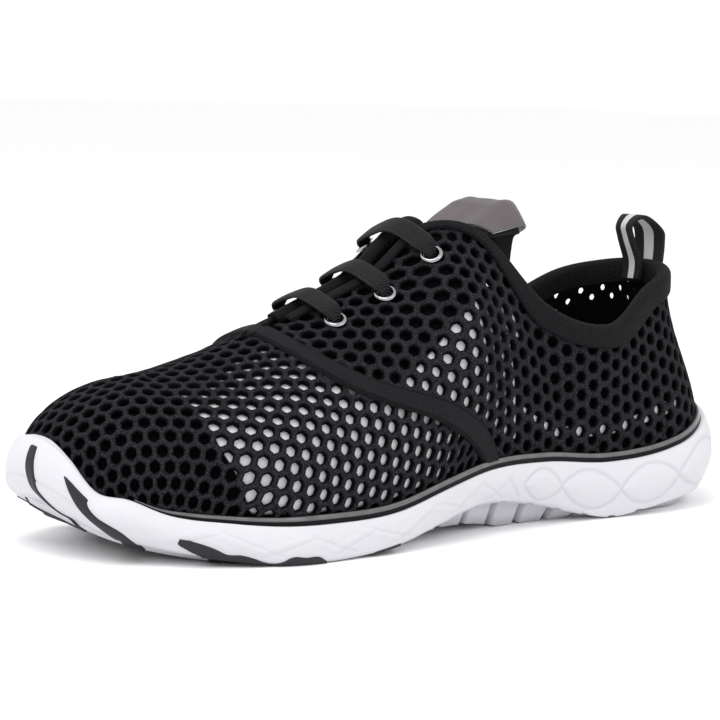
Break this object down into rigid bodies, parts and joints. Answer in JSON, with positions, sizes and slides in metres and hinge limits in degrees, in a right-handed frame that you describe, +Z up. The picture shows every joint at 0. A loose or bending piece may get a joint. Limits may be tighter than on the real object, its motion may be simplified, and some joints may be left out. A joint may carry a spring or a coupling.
{
  "type": "water shoe",
  "caption": "Low slip-on water shoe with an open mesh upper, elastic lace bars, a heel pull loop and a carved foam sole.",
  "frame": {"origin": "on the floor, on the flat rest of the heel, 40 mm in front of the back of the footbed", "axes": "+Z up, +Y towards the heel, +X towards the outer side of the foot"},
  "size_m": [0.1003, 0.2928, 0.112],
  "materials": {
    "mesh": "black open three-dimensional knit",
    "foam": "satin white foam",
    "outsole_rubber": "matt black rubber",
    "insole_foam": "grey brushed cloth on foam",
    "rand_film": "glossy black film",
    "seam_band": "smooth black tape",
    "binding_knit": "soft black knit",
    "tongue_knit": "black padded knit",
    "label_ribbon": "satin grey-mauve ribbon",
    "loop_webbing": "black webbing with a white middle stripe",
    "eyelet_metal": "polished metal",
    "lace_elastic": "black ribbed elastic"
  },
  "bodies": {
    "root": {"upper": "mesh", "sole": "foam", "forefoot_rubber": "outsole_rubber", "toe_stripe_1": "outsole_rubber", "toe_stripe_2": "outsole_rubber", "insole": "insole_foam", "rand": "rand_film", "seam_band": "seam_band", "binding": "binding_knit", "tongue": "tongue_knit", "tongue_label": "label_ribbon", "pull_loop": "loop_webbing", "eyelet_outer_1": "eyelet_metal", "eyelet_inner_1": "eyelet_metal", "eyelet_outer_2": "eyelet_metal", "eyelet_inner_2": "eyelet_metal", "eyelet_outer_3": "eyelet_metal", "eyelet_inner_3": "eyelet_metal", "lace_bar_1": "lace_elastic", "lace_bar_2": "lace_elastic", "lace_bar_3": "lace_elastic"}
  },
  "joints": []
}
